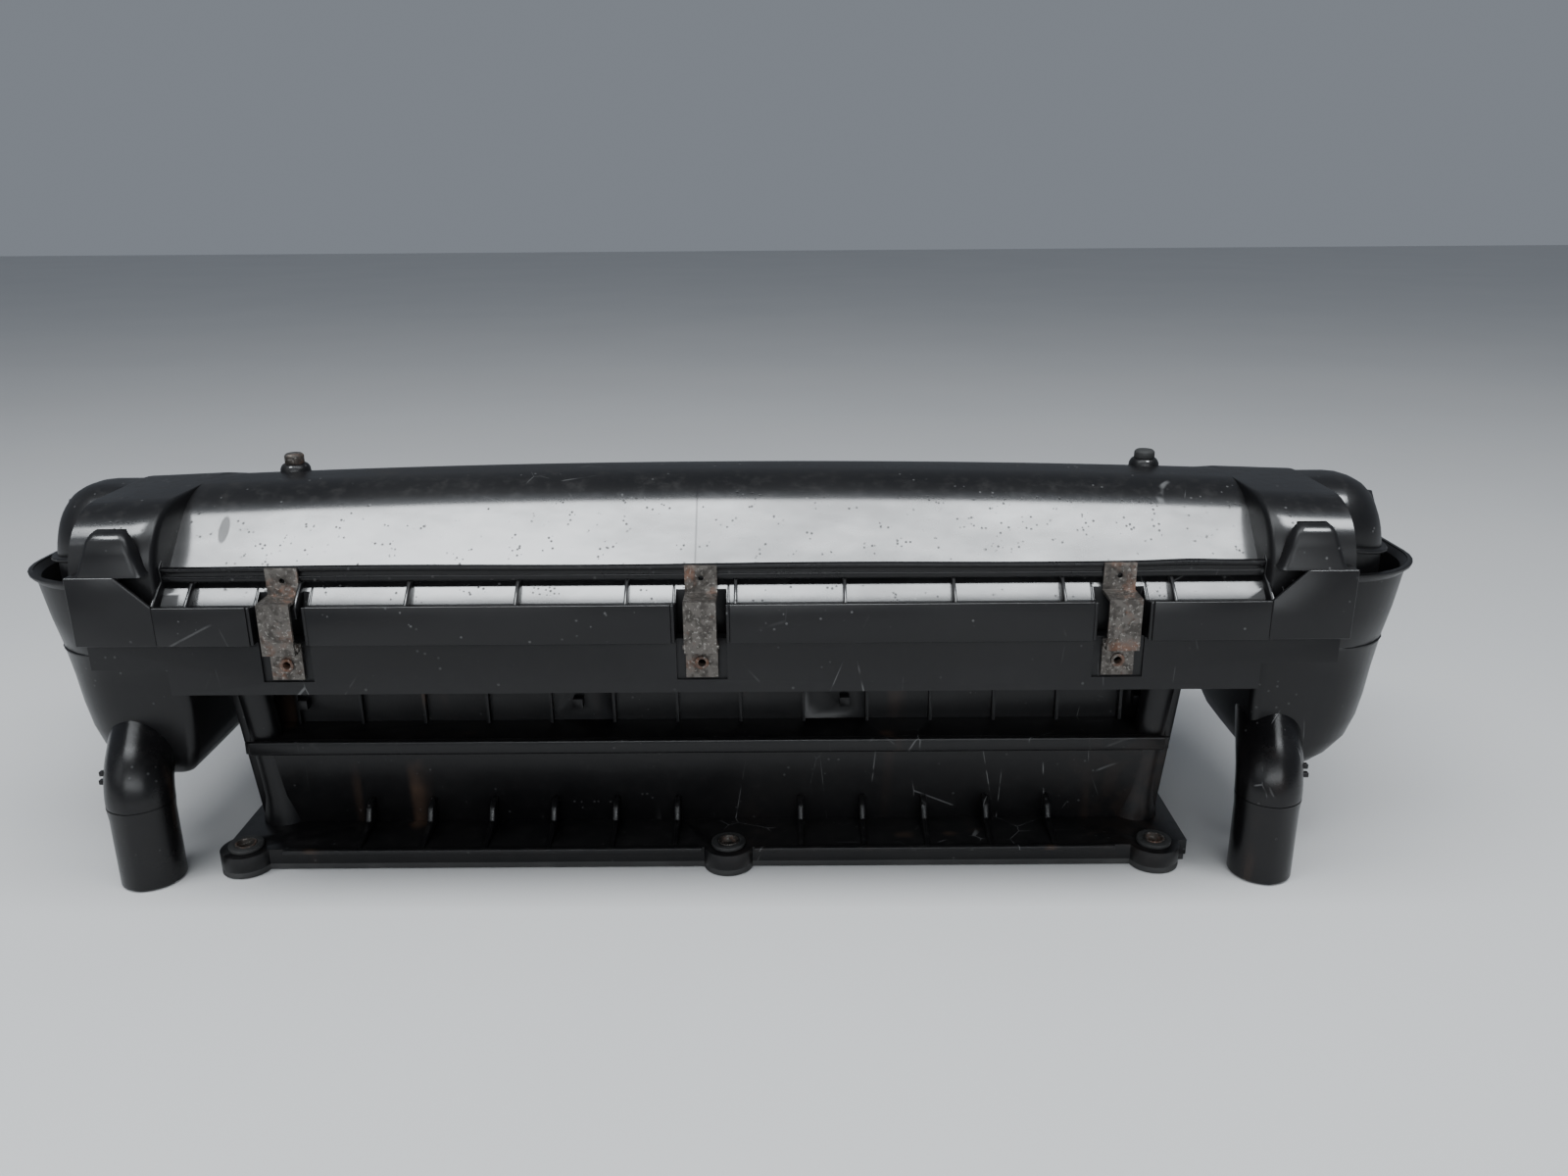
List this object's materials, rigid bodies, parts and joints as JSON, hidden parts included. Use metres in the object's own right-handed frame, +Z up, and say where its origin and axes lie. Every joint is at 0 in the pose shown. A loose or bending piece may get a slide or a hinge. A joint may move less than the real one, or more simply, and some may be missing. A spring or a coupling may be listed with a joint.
{
  "type": "air filter housing",
  "caption": "Wide black plastic air filter housing: clipped cover over a filter tray, bolted outlet duct, drain bowls and spouts at the ends.",
  "frame": {"origin": "under the middle of the whole housing, on the surface that it stands on", "axes": "+X along the housing to the right seen from the clips, +Y from the clips to the rear wall, +Z up"},
  "size_m": [0.67, 0.2522, 0.2044],
  "materials": {
    "cover_plastic": "moulded black plastic with worn edges",
    "rail_plastic": "smooth black",
    "grille_plastic": "matte black",
    "stud_steel": "zinc plated with rust",
    "buffer_rubber": "dull black",
    "gasket_rubber": "dull black",
    "tray_plastic": "moulded black plastic, satin",
    "duct_plastic": "moulded black plastic with dust and streaks",
    "seal_foam": "closed-cell foam",
    "bush_rubber": "dull black",
    "sleeve_steel": "dark plated steel",
    "bowl_plastic": "moulded black plastic",
    "spout_plastic": "moulded black plastic, worn",
    "clip_foot_steel": "aged zinc with rust specks",
    "clip_strap_steel": "aged zinc with rust specks",
    "pin_steel": "plain steel",
    "rivet_steel": "rusty",
    "filter_frame_card": "grey moulded edge",
    "filter_paper": "pleated filter paper",
    "filter_seal_rubber": "soft black rubber"
  },
  "bodies": {
    "tray": {"filter_tray": "tray_plastic", "outlet_duct": "duct_plastic", "duct_flange": "duct_plastic", "flange_seal": "seal_foam", "flange_bushes": "bush_rubber", "bush_sleeves": "sleeve_steel", "left_drain_bowl": "bowl_plastic", "right_drain_bowl": "bowl_plastic", "left_spout": "spout_plastic", "right_spout": "spout_plastic", "left_clip_foot": "clip_foot_steel", "centre_clip_foot": "clip_foot_steel", "right_clip_foot": "clip_foot_steel", "clip_hinge_pins": "pin_steel", "clip_rivets": "rivet_steel"},
    "cover": {"cover": "cover_plastic", "front_rail": "rail_plastic", "intake_grille": "grille_plastic", "top_stud": "stud_steel", "top_buffer": "buffer_rubber", "cover_gasket": "gasket_rubber"},
    "filter": {"filter_frame": "filter_frame_card", "filter_media": "filter_paper", "filter_seal": "filter_seal_rubber"},
    "left_clip": {"left_clip_strap": "clip_strap_steel"},
    "centre_clip": {"centre_clip_strap": "clip_strap_steel"},
    "right_clip": {"right_clip_strap": "clip_strap_steel"}
  },
  "joints": [
    {"name": "left_clip_swing", "type": "hinge", "parent": "tray", "child": "left_clip", "pos_m": [-0.1855, -0.1229, 0.1365], "axis": [1, 0, 0], "range_deg": [0, 40]},
    {"name": "centre_clip_swing", "type": "hinge", "parent": "tray", "child": "centre_clip", "pos_m": [-0.005, -0.1229, 0.1365], "axis": [1, 0, 0], "range_deg": [0, 40]},
    {"name": "right_clip_swing", "type": "hinge", "parent": "tray", "child": "right_clip", "pos_m": [0.1755, -0.1229, 0.1365], "axis": [1, 0, 0], "range_deg": [0, 40]},
    {"name": "cover_lift", "type": "slide", "parent": "tray", "child": "cover", "axis": [0, 0, 1], "range_m": [0, 0.12]},
    {"name": "filter_lift", "type": "slide", "parent": "tray", "child": "filter", "axis": [0, 0, 1], "range_m": [0, 0.06]}
  ],
  "couplings": [
    {"joint": "filter_lift", "follows": "cover_lift", "ratio": 0.5}
  ]
}
